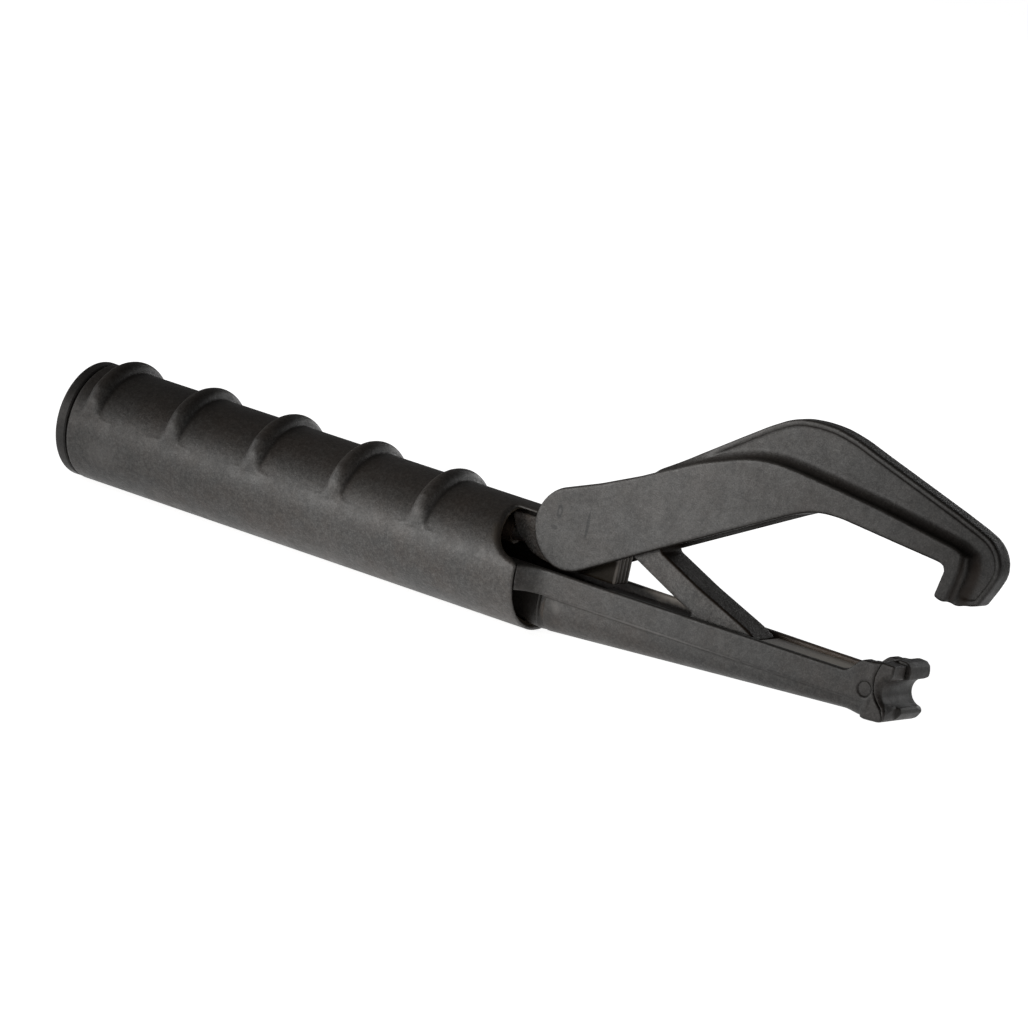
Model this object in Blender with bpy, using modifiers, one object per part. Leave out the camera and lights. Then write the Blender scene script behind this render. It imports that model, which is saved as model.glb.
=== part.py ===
"""Screw-type welding electrode holder: a ribbed tube handle, a fixed pivot block with a hooked upper jaw,
and a lower jaw that a turning rear collar drives forward.

Every shape is laid out in the handle's own coordinates, in millimetres: x runs along the handle axis towards
the jaws with 0 at the handle's front rim, y runs across, and z is up with 0 on the handle axis.
"""

import math

import bmesh
import bpy
from mathutils import Matrix, Vector

for old in list(bpy.data.objects):
    bpy.data.objects.remove(old, do_unlink=True)

MM = 0.001
GAP = 0.3               # clearance between neighbouring pieces

# ---- driving dimensions, in millimetres ----
TUBE_R = 15.0           # handle outside radius
TUBE_BORE = 13.0
TUBE_REAR = -140.4
RIM_BORE = 14.3         # lead-in chamfer at the front rim
RIB_COUNT = 5
RIB_PITCH = 25.8
RIB_FRONT = -30.8       # middle of the rib nearest the jaws
RIB_WIDTH = 5.0
RIB_HEIGHT = 2.5
COLLAR_REAR = -144.4
COLLAR_FRONT = -140.9
COLLAR_R = 14.9         # just inside the handle's outline, so the handle alone lies on a table
PIVOT = (7.7, 12.8)     # jaw pivot, x and z
PIVOT_R = 10.3          # round rear end of the upper jaw
PIN_R = 2.5
JAW_HALF = 6.5          # half width of the upper jaw
FIN_HALF = 2.25         # half width of its upper fin
CHEEK_GAP = 4.1         # half gap between the pivot cheeks
CHANNEL_GAP = 4.95      # half gap of the hollow further forward
BLOCK_HALF = 2.95       # fits between the pivot cheeks with their washers
SHOULDER_R = 10.8       # clearance behind the jaw's round end
BRACKET_HALF = 4.65
STUD = (6.8, 1.9)       # tie stud: height of its axis, radius
FLANGE_TOP = 2.2        # top edge of the lower jaw's walls
BAND_LOW = -4.1         # lower edge of the band along the walls
CHANNEL_FLOOR = -3.2    # floor of the open channel, and of the slot that holds the conductor
POCKET_FLOOR = -5.5
NECK_DEPTH = 3.2        # how far the lower jaw's walls are drawn in beside the rim
BAR_HALF = 4.0
BAR_LOW = -5.2
BAR_TOP = -2.2
TIP_FRONT = 104.7
CONTACT_HALF = 7.9      # flush with the jaw's cheeks
GROOVE_Z = -0.3
GROOVE_R = 3.4
GROOVE_X = 104.4        # centre of the electrode groove
RIVET = (97.0, -0.7)
SOCKET_R = 9.0
SOCKET_BORE = 5.6
HUB_R = 12.6
NOSE_X = 122.2          # foremost point of the upper jaw

# the row's origin is under the middle of the whole length, at the height of the handle's lowest line
FRAME_X = -(COLLAR_REAR + NOSE_X) / 2
FRAME_Z = TUBE_R

holder = bpy.data.collections.new("electrode_holder")
cutters = bpy.data.collections.new("cutters")
bpy.context.scene.collection.children.link(holder)
bpy.context.scene.collection.children.link(cutters)
frame = bpy.data.objects.new("holder_frame", None)
frame.location = (FRAME_X * MM, 0, FRAME_Z * MM)
holder.objects.link(frame)
jaw_axis = bpy.data.objects.new("jaw_axis", None)
jaw_axis.location = (PIVOT[0] * MM, 0, PIVOT[1] * MM)
jaw_axis.parent = frame
holder.objects.link(jaw_axis)


# ---- materials ----
def material(name, color, roughness, metallic=0.0):
    made = bpy.data.materials.new(name)
    made.use_nodes = True
    shader = made.node_tree.nodes["Principled BSDF"]
    shader.inputs["Base Color"].default_value = (*color, 1.0)
    shader.inputs["Roughness"].default_value = roughness
    shader.inputs["Metallic"].default_value = metallic
    return made


NYLON = material("moulded_nylon", (0.028, 0.027, 0.026), 0.5)
BRASS = material("brass", (0.55, 0.38, 0.14), 0.35, 1.0)
COPPER = material("copper", (0.62, 0.27, 0.14), 0.4, 1.0)
STEEL = material("zinc_steel", (0.5, 0.5, 0.48), 0.35, 1.0)
FIBRE = material("insulating_fibre", (0.12, 0.05, 0.03), 0.7)
RUBBER = material("rubber", (0.02, 0.02, 0.02), 0.85)
BRONZE = material("dark_bronze", (0.05, 0.045, 0.04), 0.45, 0.6)


# ---- making pieces ----
def add(mesh, name, skin=None, cutter=False):
    """Puts a mesh, laid out in millimetres, into the model or among the cutters."""
    piece = bpy.data.objects.new(name, mesh)
    (cutters if cutter else holder).objects.link(piece)
    mesh.transform(Matrix.Scale(MM, 4))
    piece.parent = frame
    if cutter:
        piece.hide_render = True
        piece.display_type = "WIRE"
        return piece
    piece.data.materials.append(skin)
    mesh.shade_smooth()
    mesh.set_sharp_from_angle(angle=math.radians(35))
    return piece


def from_bmesh(name, shape, skin=None, cutter=False):
    bmesh.ops.recalc_face_normals(shape, faces=shape.faces)
    mesh = bpy.data.meshes.new(name)
    shape.to_mesh(mesh)
    shape.free()
    return add(mesh, name, skin, cutter)


def box(name, low, high, skin=None, cutter=False):
    shape = bmesh.new()
    size = Vector(high) - Vector(low)
    middle = (Vector(high) + Vector(low)) / 2
    place = Matrix.Translation(middle) @ Matrix.Diagonal((*size, 1.0))
    bmesh.ops.create_cube(shape, size=1.0, matrix=place)
    return from_bmesh(name, shape, skin, cutter)


def rod(name, start, end, radius, skin=None, cutter=False, sides=32):
    """A cylinder between two points; sides 6 makes a hexagon."""
    shape = bmesh.new()
    start, end = Vector(start), Vector(end)
    turn = (end - start).to_track_quat("Z", "Y").to_matrix().to_4x4()
    place = Matrix.Translation((start + end) / 2) @ turn
    bmesh.ops.create_cone(shape, cap_ends=True, segments=sides, radius1=radius, radius2=radius,
                          depth=(end - start).length, matrix=place)
    return from_bmesh(name, shape, skin, cutter)


def plate(name, outline, half, skin=None, cutter=False, middle=0.0):
    """A flat outline in the x-z plane, made solid by half its thickness to each side."""
    curve = bpy.data.curves.new(name, "CURVE")
    curve.dimensions = "2D"
    curve.fill_mode = "BOTH"
    curve.extrude = half
    line = curve.splines.new("POLY")
    line.points.add(len(outline) - 1)
    for point, (x, z) in zip(line.points, outline):
        point.co = (x, z, 0, 1)
    line.use_cyclic_u = True
    shaped = bpy.data.objects.new(name + "_curve", curve)
    holder.objects.link(shaped)
    bpy.context.view_layer.update()
    mesh = bpy.data.meshes.new_from_object(shaped.evaluated_get(bpy.context.evaluated_depsgraph_get()))
    bpy.data.objects.remove(shaped)
    shape = bmesh.new()
    shape.from_mesh(mesh)
    bmesh.ops.remove_doubles(shape, verts=shape.verts, dist=0.001)
    upright = Matrix.Translation((0, middle, 0)) @ Matrix.Rotation(math.radians(90), 4, "X")
    bmesh.ops.transform(shape, matrix=upright, verts=shape.verts)
    return from_bmesh(name, shape, skin, cutter)


def turned(name, profile, skin=None, cutter=False, steps=48):
    """A ring about the handle axis; profile is (x, radius) round its section."""
    mesh = bpy.data.meshes.new(name)
    points = [(radius, 0, x) for x, radius in profile]
    edges = [(i, (i + 1) % len(points)) for i in range(len(points))]
    mesh.from_pydata(points, edges, [])
    piece = add(mesh, name, skin, cutter)
    piece.rotation_euler = (0, math.radians(90), 0)
    screw = piece.modifiers.new("turn", "SCREW")
    screw.axis = "Z"
    screw.steps = screw.render_steps = steps
    screw.use_merge_vertices = True
    screw.merge_threshold = 0.00001
    screw.use_smooth_shade = True
    return piece


def ring(name, rear, front, outer, inner, skin=None):
    return turned(name, [(front, inner), (front, outer), (rear, outer), (rear, inner)], skin)


def loft(name, sections, skin=None, cutter=False):
    """Joins closed sections, each a list of points of the same length, and closes both ends."""
    shape = bmesh.new()
    rows = [[shape.verts.new(point) for point in section] for section in sections]
    count = len(rows[0])
    for near, far in zip(rows, rows[1:]):
        for i in range(count):
            j = (i + 1) % count
            shape.faces.new((near[i], near[j], far[j], far[i]))
    shape.faces.new(rows[0])
    shape.faces.new(rows[-1])
    return from_bmesh(name, shape, skin, cutter)


def boolean(piece, tool, operation="DIFFERENCE"):
    change = piece.modifiers.new(tool.name, "BOOLEAN")
    change.operation = operation
    change.object = tool
    change.solver = "EXACT"


def arc(centre, radius, start, end, count):
    """Points on an arc in the x-z plane, from one angle to the other, in degrees."""
    angles = [math.radians(start + (end - start) * i / (count - 1)) for i in range(count)]
    return [(centre[0] + radius * math.cos(a), centre[1] + radius * math.sin(a)) for a in angles]


# ---- handle sleeve: tube with five finger ribs, a side window and a top strip ----
def rib_height(angle):
    """Rib height at an angle from the top line, in degrees: full on top, nothing at mid-side."""
    fade = (80.0 - abs(angle)) / 38.0
    return RIB_HEIGHT * max(0.0, min(1.0, fade))


def sleeve_radius(x, angle):
    rise = 0.0
    for i in range(RIB_COUNT):
        away = abs(x - (RIB_FRONT - i * RIB_PITCH)) / (RIB_WIDTH / 2)
        if away < 1.0:
            rise = max(rise, rib_height(angle) * min(1.0, 1.6 * math.cos(away * math.pi / 2)))
    return TUBE_R + rise


def make_sleeve():
    stations = [0.0]
    for i in range(RIB_COUNT):
        middle = RIB_FRONT - i * RIB_PITCH
        stations += [middle + RIB_WIDTH / 2 * share for share in (1.0, 0.6, -0.6, -1.0)]
    stations.append(TUBE_REAR)
    sides = 48
    turns = [360.0 * (i + 0.5) / sides for i in range(sides)]
    to_corner = 1 / math.cos(math.pi / sides)

    def around(x, radius):
        points = []
        for turn in turns:
            angle = (turn + 180.0) % 360.0 - 180.0
            r = (radius if radius else sleeve_radius(x, angle)) * to_corner
            points.append((x, r * math.sin(math.radians(turn)), r * math.cos(math.radians(turn))))
        return points

    inside = [(TUBE_REAR, TUBE_BORE), (-2.0, TUBE_BORE), (0.0, RIM_BORE)]
    sections = [around(x, None) for x in stations] + [around(x, r) for x, r in inside]
    shape = bmesh.new()
    rows = [[shape.verts.new(point) for point in section] for section in sections]
    for near, far in zip(rows, rows[1:] + rows[:1]):
        for i in range(sides):
            j = (i + 1) % sides
            shape.faces.new((near[i], near[j], far[j], far[i]))
    sleeve = from_bmesh("grip_sleeve", shape, NYLON)
    window = [(3.0, 2.6), (-0.2, 2.7), (-2.6, 3.2), (-5.2, 4.2), (-7.4, 6.3), (-8.8, 9.4),
              (-9.9, 12.6), (-9.7, 13.8), (3.0, 13.8)]
    boolean(sleeve, plate("window_cut", window, TUBE_R + 2, cutter=True))
    boolean(sleeve, box("strip_cut", (-3.1, -TUBE_R - 1, 4.0), (3.0, TUBE_R + 1, TUBE_R + 1), cutter=True))
    return sleeve


# ---- lower jaw: a channel that leaves the handle as a band and carries the forked tip ----
def wall_half(x):
    """Half width over the channel walls at x."""
    rear, front = 9.0, 7.9
    share = max(0.0, min(1.0, (x - 20.0) / 70.0))
    return rear + (front - rear) * share


def band_half(x):
    """Half width over the band, which flares out to the handle's bore at the rim."""
    if x < -1.5:
        return 12.6
    if x < 0.0:
        return 12.6 + 1.3 * (x + 1.5) / 1.5
    flare = 4.9 * math.exp(-x / 1.7)
    return wall_half(x) + flare


def jaw_bottom(x):
    return -13.4 + 0.068 * max(0.0, x - 4.0)


def neck(x):
    """How far the walls below the band are drawn in near the rim."""
    return NECK_DEPTH * max(0.0, min(1.0, (7.5 - x) / 4.5))


def make_lower_jaw_arm():
    """Sections: band on top, a small step in, then walls that taper to a narrow round bottom."""
    sections = []
    for x in (-29.0, -1.5, 0.0, 0.8, 2.0, 3.0, 5.0, 7.5, 20.0, 90.5, 91.5, 94.6, 96.5, 98.9):
        rise = max(0.0, min(1.0, (x - 91.0) / 3.6))
        top = FLANGE_TOP + 3.6 * rise
        low = jaw_bottom(x) - 1.2 * rise
        band = band_half(x)
        wide = band if rise > 0 else wall_half(x) - 0.3 - neck(x)
        base = 5.2 + 1.2 * rise
        side = [(band, top), (band, BAND_LOW), (wide, BAND_LOW - 0.2), (wide - 0.3, (BAND_LOW + low) / 2),
                (base + 0.9, low + 1.0), (base - 0.6, low)]
        if x < 0.5:
            limit = 14.0 if x == 0.0 else 12.6
            side[1] = (math.sqrt(limit**2 - BAND_LOW**2), BAND_LOW)
            side[3:] = [(wide - 0.3, -7.0), (6.0, -10.6), (4.0, -11.8)]
        section = [(x, y, z) for y, z in side] + [(x, -y, z) for y, z in reversed(side)]
        sections.append(section)
    arm = loft("lower_jaw_arm", sections, NYLON)
    inner = wall_half(20.0) - 1.9
    inner_front = wall_half(90.0) - 1.9
    pocket = [[(x, -half, CHANNEL_FLOOR), (x, half, CHANNEL_FLOOR), (x, half, 9.0), (x, -half, 9.0)]
              for x, half in ((-30.0, inner), (20.0, inner), (89.4, inner_front))]
    boolean(arm, loft("channel_cut", pocket, cutter=True))
    slot_half = BAR_HALF + 0.4
    boolean(arm, box("bar_slot_cut", (-30.0, -slot_half, POCKET_FLOOR), (89.4, slot_half, 0.0), cutter=True))
    boolean(arm, box("tang_slot_cut", (89.0, -4.5, -5.2), (101.0, 4.5, 9.0), cutter=True))
    x, z = RIVET
    boolean(arm, rod("tip_rivet_cut", (x, -12, z), (x, 12, z), 2.1, cutter=True))
    for tag, x in (("rear", 22.0), ("front", 50.0)):
        boolean(arm, rod(f"screw_{tag}_cut", (x, 0, -14), (x, 0, -4), 1.9, cutter=True))
        boolean(arm, rod(f"head_{tag}_cut", (x, 0, -14), (x, 0, jaw_bottom(x) + 2.3), 3.2, cutter=True))
    return arm


def make_guide_bracket():
    """The triangular guide that stands in the channel and enters the hollow of the upper jaw."""
    outline = [(17.0, -1.9), (61.5, -1.9), (63.6, 1.3), (60.4, 3.1), (45.6, 9.0), (33.4, 14.4), (31.4, 18.0),
               (27.0, 18.0), (25.4, 11.0), (36.9, 5.9), (47.0, 1.4), (46.0, 0.6), (17.0, 0.6)]
    bracket = plate("jaw_guide_bracket", outline, BRACKET_HALF, NYLON)
    for tag, x in (("rear", 22.0), ("front", 50.0)):
        top = 0.0 if x < 40 else 1.6
        boolean(bracket, rod(f"bracket_{tag}_cut", (x, 0, -3), (x, 0, top), 1.8, cutter=True))
    return bracket


def make_bracket_screw(name, x):
    """Countersunk screw up through the jaw's floor and the conductor into the bracket."""
    head = jaw_bottom(x) + 0.4
    top = 0.0 if x < 40 else 1.3
    screw = rod(name, (x, 0, head), (x, 0, head + 1.6), 2.8, STEEL, sides=24)
    shank = rod(name + "_shank", (x, 0, head + 1.0), (x, 0, top - 0.4), 1.5, cutter=True, sides=16)
    boolean(screw, shank, "UNION")
    boolean(screw, box(name + "_slot", (x - 2.2, -0.35, head - 1), (x + 2.2, 0.35, head + 0.7), cutter=True))
    return screw


def make_lower_contact():
    """The forked tip: a tang between the cheeks, and two lobes round the electrode groove."""
    lip = 40.0
    groove = arc((GROOVE_X, GROOVE_Z), GROOVE_R, 90 + lip, 270 - lip, 9)
    outline = [(99.2, 6.6), (100.4, 7.2), (103.2, 7.1), (104.3, 6.3), (TIP_FRONT, 4.4)] + groove
    outline += [(TIP_FRONT - 0.1, -4.2), (TIP_FRONT, -5.2), (103.8, -6.6), (102.2, -7.4), (99.2, -7.4)]
    head = plate("lower_contact", outline, CONTACT_HALF, BRONZE)
    tang = [(90.6, -4.9), (99.8, -4.9), (99.8, 4.6), (94.4, 4.6), (90.6, 1.2)]
    boolean(head, plate("tang", tang, 4.2, cutter=True), "UNION")
    split = [(100.6, 8.0), (101.2, 6.6), (102.9, 6.4), (103.8, 5.8), (104.1, 4.0), (107.0, 4.0),
             (107.0, 8.0)]
    boolean(head, plate("split_cut", split, 0.25, cutter=True, middle=-2.0))
    boolean(head, box("near_front_cut", (TIP_FRONT - 1.1, -9.0, -9.0), (TIP_FRONT + 1, -2.25, 9.0),
                      cutter=True))
    x, z = RIVET
    boolean(head, rod("tang_hole", (x, -9, z), (x, 9, z), 2.1, cutter=True))
    return head


# ---- upper jaw: round pivot end, hollow rear arm, hook with a fin along its back ----
def body_outline():
    rear = arc(PIVOT, PIVOT_R, 298, 113.4, 14)
    top = [(13.5, 26.2), (24.1, 30.8), (29.2, 33.3), (39.6, 38.4), (50.1, 42.2), (55.5, 43.5), (61.1, 43.8),
           (66.9, 43.3), (78.4, 42.1), (90.0, 40.7), (101.5, 38.9), (111.5, 37.4), (113.6, 36.3)]
    hook = [(113.9, 33.2), (113.3, 30.2), (112.1, 24.5), (108.4, 24.9), (109.7, 31.3), (109.2, 32.4),
            (108.0, 32.9)]
    under = [(97.3, 33.9), (80.1, 35.6), (75.0, 35.6), (69.2, 34.0), (64.2, 31.5), (54.2, 26.2),
             (38.9, 18.1), (28.6, 12.6), (15.6, 5.4)]
    return rear + top + hook + under


def fin_outline():
    back = [(26.6, 32.0), (36.6, 39.3), (46.4, 45.9), (53.8, 50.8), (58.7, 53.6), (62.0, 54.8), (67.0, 55.4),
            (72.5, 55.2), (78.4, 53.9), (84.5, 51.9), (96.6, 48.1), (108.6, 44.3), (114.5, 42.3)]
    nose = [(118.2, 40.8), (120.6, 38.6), (121.9, 35.9), (NOSE_X, 33.0), (120.7, 29.6), (118.4, 25.2)]
    inside = [(111.0, 25.6), (111.6, 35.0), (90.0, 38.0), (62.0, 41.0), (40.0, 35.0), (30.0, 29.0)]
    return back + nose + inside


def make_upper_jaw_arm():
    arm = plate("upper_jaw_arm", body_outline(), JAW_HALF, NYLON)
    boolean(arm, plate("fin", fin_outline(), FIN_HALF, cutter=True), "UNION")
    hollow = [(14.0, -2.0), (14.0, 21.5), (22.0, 27.0), (40.0, 35.4), (52.0, 39.4), (60.0, 40.6),
              (64.5, 39.0), (67.0, 35.0), (66.0, 30.0), (60.0, 24.0), (40.0, 10.0), (26.0, -2.0)]
    boolean(arm, plate("hollow_cut", hollow, CHANNEL_GAP, cutter=True))
    x, z = PIVOT
    boolean(arm, rod("cheek_cut", (x, -CHEEK_GAP, z), (x, CHEEK_GAP, z), 7.8, cutter=True))
    boolean(arm, box("rear_slot_cut", (-5, -CHEEK_GAP, -2), (18, CHEEK_GAP, z - 1.8), cutter=True))
    boolean(arm, rod("pin_bore_cut", (x, -5.8, z), (x, 5.8, z), PIN_R + 0.15, cutter=True))
    seat = [(107.0, 31.0), (111.0, 31.2), (109.9, 24.0), (106.0, 24.0)]
    boolean(arm, plate("wear_seat_cut", seat, 4.6, cutter=True))
    boolean(arm, rod("wear_screw_cut", (108.0, 0, 28.0), (117.0, 0, 28.0), 1.5, cutter=True, sides=16))
    return arm


def make_wear_plate():
    outline = [(109.3, 30.7), (110.5, 30.8), (109.5, 24.8), (108.4, 24.9)]
    piece = plate("hook_wear_plate", outline, 4.3, BRONZE)
    boolean(piece, rod("wear_hole", (106.0, 0, 28.0), (114.0, 0, 28.0), 1.5, cutter=True, sides=16))
    return piece


# ---- fixed parts inside the handle ----
def make_pivot_block():
    """Carries the pin between the jaw's cheeks; its shoulder stands behind the jaw's round end."""
    lug = arc(PIVOT, 5.4, -8, 188, 13)
    front = [(21.3, 2.6), (21.3, 10.6), (13.2, 10.8)]
    shoulder = [(2.4, 10.6), (-3.0, 10.6)] + arc(PIVOT, SHOULDER_R, 192, 181, 3)
    rear = [(-10.9, 12.3), (-11.4, 11.4), (-9.1, 7.3), (-6.2, 5.4), (-4.1, 3.8), (-1.1, 3.0), (1.6, 2.6)]
    block = plate("pivot_block", front + lug + shoulder + rear, BLOCK_HALF, NYLON)
    x, z = PIVOT
    boolean(block, rod("pin_hole_cut", (x, -6, z), (x, 6, z), PIN_R + 0.1, cutter=True))
    height, radius = STUD
    boolean(block, rod("stud_hole_cut", (-30, 0, height), (14.3, 0, height), radius + 0.2,
                       cutter=True, sides=24))
    for tag, y in (("near", -1.5), ("middle", 0.0), ("far", 1.5)):
        boolean(block, box(f"front_{tag}_cut", (20.9, y - 0.35, 2.0), (22.0, y + 0.35, 11.0), cutter=True))
    return block


def make_tie_stud():
    """Holds the pivot block against the anchor plate; it ends blind in the block."""
    height, radius = STUD
    return rod("tie_stud", (-43.0, 0, height), (14.0, 0, height), radius, STEEL, sides=24)


def make_stud_spacer():
    """Tube over the tie stud that keeps the pivot block and the anchor plate apart."""
    height, radius = STUD
    spacer = rod("stud_spacer", (-31.7, 0, height), (-10.9, 0, height), 2.9, FIBRE)
    hole = rod("spacer_cut", (-33, 0, height), (-9, 0, height), radius + 0.2, cutter=True, sides=24)
    boolean(spacer, hole)
    return spacer


def make_anchor_plate():
    plate_ring = turned("anchor_plate", [(-32.0, 1.0), (-32.0, 12.7), (-36.0, 12.7), (-36.0, 1.0)], FIBRE)
    height, radius = STUD
    stud_hole = rod("anchor_stud_cut", (-40, 0, height), (-30, 0, height), radius + 0.3, cutter=True)
    boolean(plate_ring, stud_hole)
    bar_hole = box("anchor_bar_cut", (-40, -BAR_HALF - 0.5, BAR_LOW - 0.5), (-30, BAR_HALF + 0.5, 1.5),
                   cutter=True)
    boolean(plate_ring, bar_hole)
    return plate_ring


def make_conductor_bar():
    bar = box("conductor_bar", (-66.0, -BAR_HALF, BAR_LOW), (88.6, BAR_HALF, BAR_TOP), COPPER)
    for tag, x in (("rear", 22.0), ("front", 50.0), ("socket", -58.0)):
        boolean(bar, rod(f"bar_{tag}_cut", (x, 0, -7), (x, 0, 0), 1.9, cutter=True, sides=24))
    return bar


# ---- cable end ----
def make_cable_socket():
    """Threaded brass socket: bored for the cable, with a tongue under the conductor bar."""
    profile = [(-52.0, 0.8), (-52.0, SOCKET_R), (-132.0, SOCKET_R), (-132.0, 0.8)]
    socket = turned("cable_socket", profile, BRASS, steps=40)
    boolean(socket, rod("cable_bore_cut", (-140, 0, 0), (-78, 0, 0), SOCKET_BORE, cutter=True))
    boolean(socket, box("tongue_cut", (-67.0, -12, BAR_LOW - 0.3), (-50, 12, 12), cutter=True))
    boolean(socket, rod("tongue_screw_cut", (-58, 0, -12), (-58, 0, -3), 1.7, cutter=True, sides=24))
    for tag, x in (("front", -86.0), ("rear", -98.0)):
        boolean(socket, rod(f"set_{tag}_cut", (x, 0, 0), (x, 0, 12), 2.9, cutter=True, sides=24))
    return socket


def make_set_screw(name, x):
    screw = rod(name, (x, 0, 3.9), (x, 0, 8.6), 2.6, STEEL, sides=24)
    boolean(screw, rod(name + "_hex", (x, 0, 6.4), (x, 0, 9.4), 1.5, cutter=True, sides=6))
    return screw


def make_rear_collar():
    """Turning end cap with a hub that reaches into the handle."""
    profile = [(-124.3, 9.6), (-124.3, HUB_R), (COLLAR_FRONT, HUB_R), (COLLAR_FRONT, COLLAR_R - 0.2),
               (COLLAR_FRONT - 0.4, COLLAR_R), (COLLAR_REAR + 1.2, COLLAR_R),
               (COLLAR_REAR + 0.35, COLLAR_R - 0.4), (COLLAR_REAR, COLLAR_R - 1.3), (COLLAR_REAR, 8.0),
               (-139.0, 8.0), (-139.0, 9.6)]
    return turned("rear_collar", profile, NYLON)


def make_tip_rivet():
    x, z = RIVET
    half = wall_half(x)
    return rod("tip_rivet", (x, -half, z), (x, half, z), 1.85, BRONZE, sides=24)


def make_conductor_screw():
    screw = rod("conductor_screw", (-58, 0, BAR_TOP + 0.3), (-58, 0, BAR_TOP + 2.3), 3.2, STEEL, sides=6)
    shank = rod("conductor_shank", (-58, 0, -8.2), (-58, 0, BAR_TOP + 1.0), 1.4, cutter=True, sides=16)
    boolean(screw, shank, "UNION")
    return screw


def make_wear_screw():
    screw = rod("wear_screw", (109.6, 0, 28.0), (116.6, 0, 28.0), 1.2, STEEL, sides=16)
    return screw


def make_pivot_washer(name, side):
    x, z = PIVOT
    washer = rod(name, (x, side * 3.25, z), (x, side * 3.85, z), 4.6, STEEL)
    boolean(washer, rod(name + "_cut", (x, side * 2, z), (x, side * 6, z), PIN_R + 0.2, cutter=True))
    return washer


def make_tie_washer():
    height, radius = STUD
    washer = rod("tie_washer", (-36.9, 0, height), (-36.3, 0, height), 4.2, STEEL)
    boolean(washer, rod("tie_washer_cut", (-38, 0, height), (-35, 0, height), radius + 0.2, cutter=True))
    return washer


def make_tie_nut():
    height, radius = STUD
    nut = rod("tie_nut", (-40.8, 0, height), (-37.2, 0, height), 4.0, STEEL, sides=6)
    boolean(nut, rod("tie_nut_cut", (-43, 0, height), (-36, 0, height), radius + 0.2, cutter=True, sides=24))
    return nut


def make_pivot_pin():
    x, z = PIVOT
    return rod("pivot_pin", (x, -5.6, z), (x, 5.6, z), PIN_R, STEEL)


make_sleeve()
make_lower_jaw_arm()
make_guide_bracket()
make_bracket_screw("bracket_screw_rear", 22.0)
make_bracket_screw("bracket_screw_front", 50.0)
make_lower_contact()
make_tip_rivet()
box("conductor_cover", (63.9, -5.6, BAR_TOP + GAP), (88.6, 5.6, 1.2), NYLON)
make_upper_jaw_arm()
make_wear_plate()
make_wear_screw()
make_pivot_block()
make_pivot_pin()
make_pivot_washer("pivot_washer_near", -1)
make_pivot_washer("pivot_washer_far", 1)
make_tie_stud()
make_stud_spacer()
make_tie_washer()
make_tie_nut()
make_anchor_plate()
ring("handle_liner", -107.5, -44.5, 12.7, 11.4, FIBRE)
make_conductor_bar()
make_cable_socket()
make_set_screw("cable_screw_front", -86.0)
make_set_screw("cable_screw_rear", -98.0)
box("cable_saddle", (-102.0, -2.6, 2.7), (-82.0, 2.6, 3.6), COPPER)
make_conductor_screw()
make_rear_collar()
ring("cable_grommet", COLLAR_REAR, -139.3, 7.7, 6.2, RUBBER)
ring("drive_nut", -124.0, -112.2, HUB_R, SOCKET_R + 0.3, BRASS)
ring("thrust_washer", -111.9, -111.1, HUB_R, SOCKET_R + 0.5, STEEL)
ring("collar_retainer", -110.8, -108.8, 12.7, SOCKET_R + 0.6, STEEL)

for piece in holder.objects:
    if piece.name in ("upper_jaw_arm", "hook_wear_plate", "wear_screw"):
        piece.data.transform(Matrix.Translation(-jaw_axis.location))
        piece.parent = jaw_axis
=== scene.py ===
"""Looks for the electrode holder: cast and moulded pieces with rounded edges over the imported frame.

Shapes are laid out in the handle's own coordinates, in millimetres: x along the handle axis towards the jaws
with 0 at the handle's front rim, y across, z up with 0 on the handle axis. Each moulded piece is a distance
field, which is negative inside, and its surface is meshed on a fine grid.
"""

import math

import bpy
import numpy as np
from mathutils import Matrix, Vector


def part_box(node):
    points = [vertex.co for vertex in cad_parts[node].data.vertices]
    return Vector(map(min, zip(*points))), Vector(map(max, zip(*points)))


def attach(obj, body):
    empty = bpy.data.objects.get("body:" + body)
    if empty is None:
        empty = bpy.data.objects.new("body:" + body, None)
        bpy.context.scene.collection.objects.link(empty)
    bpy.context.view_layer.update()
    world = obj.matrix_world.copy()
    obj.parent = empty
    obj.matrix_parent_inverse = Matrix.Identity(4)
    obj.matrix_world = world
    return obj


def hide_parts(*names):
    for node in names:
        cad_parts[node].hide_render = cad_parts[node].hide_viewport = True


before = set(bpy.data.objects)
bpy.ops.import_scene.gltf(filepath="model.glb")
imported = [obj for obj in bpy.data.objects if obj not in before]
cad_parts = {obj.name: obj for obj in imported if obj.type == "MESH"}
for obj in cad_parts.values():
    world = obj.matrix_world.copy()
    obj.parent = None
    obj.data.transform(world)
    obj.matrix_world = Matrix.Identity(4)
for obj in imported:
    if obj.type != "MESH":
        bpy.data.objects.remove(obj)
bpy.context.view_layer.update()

MM = 0.001
TUBE_R = 15.0                           # outer radius of the handle's tube
sleeve_low, sleeve_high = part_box("grip_sleeve")
RIM_X = sleeve_high[0] / MM
AXIS_Z = sleeve_low[2] / MM + TUBE_R
pin_low, pin_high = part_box("pivot_pin")
PIVOT = ((pin_low[0] + pin_high[0]) / 2 / MM - RIM_X, (pin_low[2] + pin_high[2]) / 2 / MM - AXIS_Z)
CELL = 0.4       # grid step of the moulded pieces
GENTLE_TURN = 0.6                       # radians: where an outline turns less, it is a long curve


# ---- distance fields ----
def fillet(a, b, radius):
    """Union of two fields with a round fillet where they meet."""
    deep = np.minimum(a, b)
    round_part = np.sqrt(np.maximum(radius - a, 0.0) ** 2 + np.maximum(radius - b, 0.0) ** 2)
    return np.maximum(radius, deep) - round_part


def both(a, b, radius=0.0):
    """What lies in both fields, with the edge between them rounded."""
    shallow = np.maximum(a, b)
    round_part = np.sqrt(np.maximum(radius + a, 0.0) ** 2 + np.maximum(radius + b, 0.0) ** 2)
    return np.minimum(-radius, shallow) + round_part


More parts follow.
